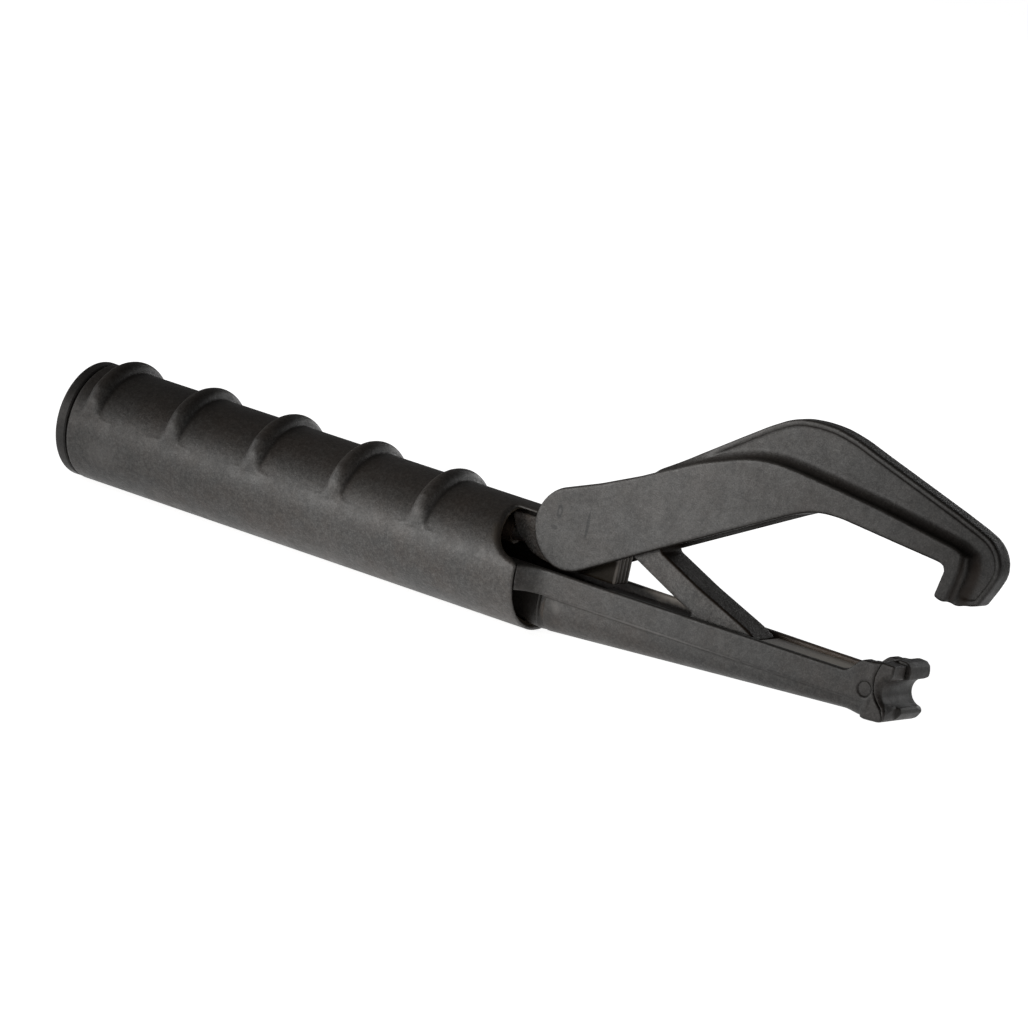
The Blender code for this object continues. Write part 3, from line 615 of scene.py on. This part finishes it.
def upper_jaw_field(x, y, z):
    """Thick jaw with a beaded fin on its back and a stepped hook, hollow from below and at the pivot."""
    side = np.abs(y)
    body = both(outline_field(x, z, JAW_BODY), side - JAW_HALF, 0.7)
    edge = outline_field(x, z, FIN)
    fin = both(edge, side - FIN_HALF, 0.6)
    bead = both(np.maximum(edge, -edge - 1.3), side - BEAD_HALF, 0.3)
    fin = fillet(fin, bead, 0.35)
    step = both(outline_field(x, z, STEP), side - STEP_HALF, 0.5)
    jaw = fillet(body, step, 0.35)
    jaw = fillet(jaw, fin, 2.5)
    hollow = both(outline_field(x, z, HOLLOW), side - HOLLOW_HALF, 0.8)
    jaw = without(jaw, hollow, 0.3)
    pivot_x, pivot_z = PIVOT
    lug_room = both(np.hypot(x - pivot_x, z - pivot_z) - 7.8, side - SLOT_HALF, 0.3)
    jaw = without(jaw, lug_room, 0.2)
    slot = both(both(between(x, -5.0, 18.0), z - (pivot_z - 1.8)), side - SLOT_HALF)
    jaw = without(jaw, slot, 0.3)
    # a shallow notch under the hook's tip, where the wear plate ends
    notch = both(between(x, 109.2, 110.6), between(z, 20.0, 25.0))
    jaw = without(jaw, both(notch, side - 4.6), 0.25)
    pin = both(np.hypot(x - pivot_x, z - pivot_z) - PIN_HOLE_R, side - 5.8)
    return without(jaw, pin, 0.1)


moulded("upper_jaw_look", upper_jaw_field, (-3.6, -7.2, 1.0), (123.0, 7.2, 56.4), "upper_jaw", JAW,
        ["upper_jaw_arm"])


# ---- lower jaw ----
ARM_REAR, TIP_FRONT = -29.0, 104.7
RIVET_X, RIVET_Z = 97.0, -0.7
SCREWS_X = (22.0, 50.0)                 # the bracket's two screws
HEAD = rounded([(97.0, 6.0), (99.6, 6.4), (100.9, 7.15), (103.3, 7.0), (104.3, 6.2), (TIP_FRONT, 4.6),
                (104.2, 0.0), (104.4, -4.0), (TIP_FRONT, -5.0), (103.7, -6.7), (102.2, -7.5), (98.2, -7.7),
                (97.0, -7.5)], corner=0.6, bend=4.0)
# the fold between cheek and contact, seen from the side
FOLD_Z = [-7.7, -7.0, -5.6, -4.3, -3.4, -2.5, -1.0, 0.6, 2.7, 4.5, 6.5]
FOLD_X = [103.1, 103.2, 102.9, 102.1, 101.1, 100.3, 99.55, 99.15, 99.0, 99.4, 100.2]


def wall_half(x):
    """Half the jaw's width, which narrows towards the tip."""
    return 9.0 - 1.1 * np.clip((x - 20.0) / 70.0, 0.0, 1.0)


def keel(x):
    """Height of the jaw's lowest line, which rises towards the tip."""
    return -13.4 + 0.068 * np.maximum(x - 4.0, 0.0)


def lower_jaw_field(x, y, z):
    """Arm and contact as one form: an upright band over a rounded belly, and the swollen head at the tip."""
    side = np.abs(y)
    radius = np.sqrt(y * y + z * z)
    wall = wall_half(x)
    rise = smooth_step(x, 90.4, 95.6)
    band_half = wall + 4.9 * np.exp(-np.maximum(x, 0.0) / 1.7)
    top = 2.2 + 3.7 * rise
    band = both(side - band_half, np.maximum(z - top, -4.1 - z), 0.4)
    # beside the rim the belly is pinched in, which leaves the opening under the band
    neck_end = 1 - smooth_step(x, 5.4, 7.2)
    inward = 3.2 * neck_end - 1.9 * smooth_step(x, 2.9, 3.3) + 0.7 * smooth_step(x, 3.7, 4.1) * neck_end
    inward = np.maximum(inward, 0.0)
    half = wall - 0.5 - inward + 0.5 * rise
    low = keel(x) - 1.0 * smooth_step(x, 91.0, 98.0)
    deep = np.maximum(-3.6 - z, 0.0) / (-3.6 - low)
    power = 3.2
    belly = ((side / half) ** power + deep ** power) ** (1 / power)
    belly = np.maximum((belly - 1.0) * 6.5, z - 0.5)
    jaw = fillet(band, belly, 0.25)
    # behind the rim it fits inside the sleeve's flared bore
    limit = np.where(x < 0.5, 12.6 + 1.4 * np.clip((x + 1.5) / 1.5, 0.0, 1.0), 40.0)
    jaw = np.maximum(jaw, radius - limit)
    head = both(outline_field(x, z, HEAD), side - 7.9, 0.6)
    jaw = np.maximum(jaw, x - 98.6)
    return fillet(jaw, head, 0.4)


def jaw_channel(x, y, z):
    """The open channel, with a narrower slot for the conductor below it."""
    side = np.abs(y)
    inner = wall_half(x) - 1.9
    wide = both(side - inner, np.maximum(-3.2 - z, x - 89.6), 0.7)
    bar = np.maximum(side - 4.4, np.maximum(-5.5 - z, x - 89.4))
    return np.minimum(wide, bar)


def seam(y, z):
    """Where the cheeks end and the contact begins: along the fold outside, straight between the cheeks."""
    fold = np.interp(z, FOLD_Z, FOLD_X)
    return np.where(np.abs(y) < 4.45, 98.9, fold)


def lower_arm_field(x, y, z):
    """The arm: what lies behind the seam, less the channel, the contact's tang, screw recesses and rivet."""
    jaw = np.maximum(lower_jaw_field(x, y, z), ARM_REAR - x)
    jaw = both(jaw, x - seam(y, z) + 0.05, 0.25)
    jaw = without(jaw, jaw_channel(x, y, z), 0.35)
    tang = both(between(x, 85.0, 112.0), np.maximum(np.abs(y) - 4.5, -5.2 - z))
    jaw = np.maximum(jaw, -np.maximum(tang, 89.0 - x))
    for middle in SCREWS_X:
        recess = np.maximum(np.hypot(x - middle, y) - 3.2, z - (keel(middle) + 2.3))
        jaw = without(jaw, recess, 0.3)
    rivet = np.hypot(x - RIVET_X, z - RIVET_Z) - 1.92
    ring = np.maximum(rivet, 7.6 - np.abs(y))
    return without(jaw, ring, 0.1)


def contact_field(x, y, z):
    """The forked tip in front of the seam, with the electrode groove across it and a tang in the channel."""
    jaw = both(lower_jaw_field(x, y, z), seam(y, z) + 0.05 - x, 0.1)
    near = smooth_step(-y, 1.8, 2.6)
    soft = 0.45 + 1.3 * smooth_step(-y, 3.5, 7.5) + 0.4 * smooth_step(y, 5.5, 7.5)
    back = np.maximum(x - (TIP_FRONT + 1.0 - 2.1 * near), -(9.0 + z))
    jaw = both(jaw, back, 0.5)
    near_top = np.maximum(z - (7.4 - 0.9 * near), -9.0 - z)
    jaw = both(jaw, near_top, 0.4)
    groove = np.hypot(x - 104.4, z + 0.35) - 3.4
    jaw = without(jaw, groove, soft)
    split = np.maximum(np.abs(y + 2.1) - 0.28, np.maximum(2.4 - z, 100.8 - x))
    jaw = without(jaw, split, 0.25)
    tang = both(both(between(x, 90.8, 100.0), between(z, -4.9, 4.4)), np.abs(y) - 4.2, 0.4)
    slope = (z - 1.2) - (x - 90.8) * 0.9
    tang = both(tang, slope, 0.3)
    return np.minimum(jaw, tang)


moulded("lower_jaw_look", lower_arm_field, (-30.0, -14.6, -14.4), (104.6, 14.6, 7.6), "lower_jaw", LOWER,
        ["lower_jaw_arm"])
moulded("lower_contact_look", contact_field, (89.8, -8.8, -9.2), (106.4, 8.8, 8.4), "lower_jaw", CONTACT,
        ["lower_contact"], cell=0.26)

BRACKET = rounded([(17.0, -1.9), (61.5, -1.9), (63.6, 1.3), (60.4, 3.1), (45.6, 8.8), (33.4, 14.2),
                   (31.4, 18.0), (27.0, 18.0), (25.4, 11.2), (36.9, 5.9), (45.0, 2.3), (44.0, 0.6),
                   (17.0, 0.6)], corner=0.8)
SCREW_TOPS = (0.0, 1.6)                 # how high each screw's hole reaches in the bracket


def bracket_field(x, y, z):
    """Flat strip on the channel's floor with a slanted strut up to the jaw's hollow."""
    guide = both(outline_field(x, z, BRACKET), np.abs(y) - 4.65, 0.5)
    for middle, depth in zip(SCREWS_X, SCREW_TOPS):
        guide = without(guide, np.maximum(np.hypot(x - middle, y) - 1.8, z - depth), 0.1)
    return guide


moulded("jaw_guide_bracket_look", bracket_field, (16.0, -5.6, -2.8), (64.6, 5.6, 19.0), "lower_jaw", GUIDE,
        ["jaw_guide_bracket"])


# ---- pivot block ----
def block_outline():
    """The ridged front, the lug round the pivot, and the shoulder and slanted rear inside the sleeve."""
    front = [(21.3, 2.6), (21.3, 10.6), (13.2, 10.8)]
    lug = arc(PIVOT, 5.4, -8, 188, 20)
    shoulder = [(2.4, 10.6), (-3.0, 10.6)] + arc(PIVOT, 10.8, 192, 181, 4)
    rear = [(-10.9, 12.3), (-11.4, 11.4), (-9.1, 7.3), (-6.2, 5.4), (-4.1, 3.8), (-1.1, 3.0), (1.6, 2.6)]
    return rounded(front + lug + shoulder + rear, corner=0.6, bend=6.0)


BLOCK = block_outline()
BLOCK_HALF = 2.95
STUD_Z = 6.8                            # height of the tie stud's hole


def block_field(x, y, z):
    """The block that carries the pivot, with the stud's hole and three grooves down its front face."""
    block = both(outline_field(x, z, BLOCK), np.abs(y) - BLOCK_HALF, 0.45)
    pivot_x, pivot_z = PIVOT
    block = without(block, np.hypot(x - pivot_x, z - pivot_z) - PIN_HOLE_R, 0.1)
    block = without(block, np.maximum(np.hypot(y, z - STUD_Z) - 2.1, x - 14.3), 0.1)
    for middle in (-1.5, 0.0, 1.5):
        block = without(block, np.maximum(np.abs(y - middle) - 0.3, 20.9 - x), 0.25)
    return block


moulded("pivot_block_look", block_field, (-12.4, -3.6, 1.8), (22.2, 3.6, 19.2), "handle", BLOCK_LOOK,
        ["pivot_block"], cell=0.28)


# ---- tip rivet ----
def rivet_field(x, y, z):
    """A pin across the jaw whose ends are low domes."""
    away = np.hypot(x - RIVET_X, z - RIVET_Z)
    dome = np.abs(y) - 7.86 + 0.035 * away ** 2
    return both(both(away - 1.85, dome, 0.25), np.abs(y) - 7.9)


moulded("tip_rivet_look", rivet_field, (94.6, -8.6, -3.2), (99.4, 8.6, 1.8), "lower_jaw", CONTACT,
        ["tip_rivet"], cell=0.22)


# ---- finishes for the frame's own pieces that stay ----
FINISH = {
    "conductor_cover": COVER, "hook_wear_plate": BRONZE, "cable_grommet": RUBBER,
    "conductor_bar": COPPER, "cable_saddle": COPPER, "cable_socket": BRASS, "drive_nut": BRASS,
    "anchor_plate": FIBRE, "handle_liner": FIBRE, "stud_spacer": FIBRE,
    "bracket_screw_rear": STEEL, "bracket_screw_front": STEEL, "conductor_screw": STEEL,
    "cable_screw_front": STEEL, "cable_screw_rear": STEEL, "wear_screw": STEEL,
    "pivot_pin": STEEL, "pivot_washer_near": STEEL, "pivot_washer_far": STEEL,
    "tie_stud": STEEL, "tie_washer": STEEL, "tie_nut": STEEL, "thrust_washer": STEEL,
    "collar_retainer": STEEL}
for node, look in FINISH.items():
    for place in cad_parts[node].material_slots:
        place.material = look


# ---- floor, light and camera ----
def stage_floor():
    """A plain white paper floor, bright enough to stay white under soft light."""
    n = Nodes("floor_paper")
    tone = n.range(n.noise(6.0, 3.0, 0.5), 0.3, 0.7, 0.0, 1.0)
    color = n.mix(tone, (0.86, 0.86, 0.855), (0.89, 0.89, 0.885))
    rough = n.range(n.noise(30.0, 2.0, 0.5), 0.3, 0.7, 0.85, 0.95)
    paper = n.finish(color, rough, n.bump(n.noise(900.0, 2.0, 0.5), 0.05, 0.0002), specular=0.1)
    n.shader.inputs["Emission Color"].default_value = (1.0, 1.0, 1.0, 1.0)
    n.shader.inputs["Emission Strength"].default_value = 0.85
    mesh = bpy.data.meshes.new("floor")
    half = 8.0
    corners = [(-half, -half, 0), (half, -half, 0), (half, half, 0), (-half, half, 0)]
    mesh.from_pydata(corners, [], [(0, 1, 2, 3)])
    mesh.materials.append(paper)
    floor = bpy.data.objects.new("floor", mesh)
    bpy.context.scene.collection.objects.link(floor)


def area_light(name, place, target, width, height, power, color=(1, 1, 1)):
    """A rectangular softbox that faces its target."""
    lamp = bpy.data.lights.new(name, "AREA")
    lamp.shape = "RECTANGLE"
    lamp.size, lamp.size_y = width, height
    lamp.energy = power
    lamp.color = color
    light = bpy.data.objects.new(name, lamp)
    light.location = place
    light.rotation_euler = (Vector(target) - Vector(place)).to_track_quat("-Z", "Y").to_euler()
    bpy.context.scene.collection.objects.link(light)


def aim_camera():
    """Looks from the near side, a little from the front and above, and tilted.

    The middle of the view is aim_right and aim_up away from the handle's rim, in millimetres.
    """
    azimuth, elevation, roll = math.radians(32.80), math.radians(10.26), math.radians(11.83)
    distance, sensor, focal_length = 1434.0, 36.0, 207.175
    aim_right, aim_up = -8.1686, 13.8406
    level = Vector((math.cos(azimuth), math.sin(azimuth), 0))
    back = Vector((math.sin(azimuth) * math.cos(elevation), -math.cos(azimuth) * math.cos(elevation),
                   math.sin(elevation)))
    rise = back.cross(level)
    right = math.cos(roll) * level + math.sin(roll) * rise
    up = -math.sin(roll) * level + math.cos(roll) * rise
    place = back * distance + right * aim_right + up * aim_up
    place = (place + Vector((RIM_X, 0, AXIS_Z))) * MM
    lens = bpy.data.cameras.new("camera")
    lens.sensor_width = sensor
    lens.lens = focal_length
    lens.clip_end = 50.0
    camera = bpy.data.objects.new("camera", lens)
    camera.matrix_world = Matrix(((right.x, up.x, back.x, place.x), (right.y, up.y, back.y, place.y),
                                  (right.z, up.z, back.z, place.z), (0, 0, 0, 1)))
    bpy.context.scene.collection.objects.link(camera)
    bpy.context.scene.camera = camera


stage_floor()
area_light("front_softbox", (-1.0, -1.65, 0.22), (0.0, 0.0, 0.03), 1.3, 0.4, 23.0, (1.0, 0.985, 0.965))
area_light("left_softbox", (-1.5, -0.5, 0.36), (0.0, 0.0, 0.03), 0.8, 0.6, 5.0)
area_light("back_softbox", (0.2, 1.6, 0.45), (0.0, 0.0, 0.03), 1.4, 0.5, 8.0)
world = bpy.data.worlds.new("studio")
world.use_nodes = True
world.node_tree.nodes["Background"].inputs["Color"].default_value = (1.0, 1.0, 1.0, 1.0)
world.node_tree.nodes["Background"].inputs["Strength"].default_value = 0.16
bpy.context.scene.world = world
bpy.context.scene.view_settings.view_transform = "Standard"
aim_camera()
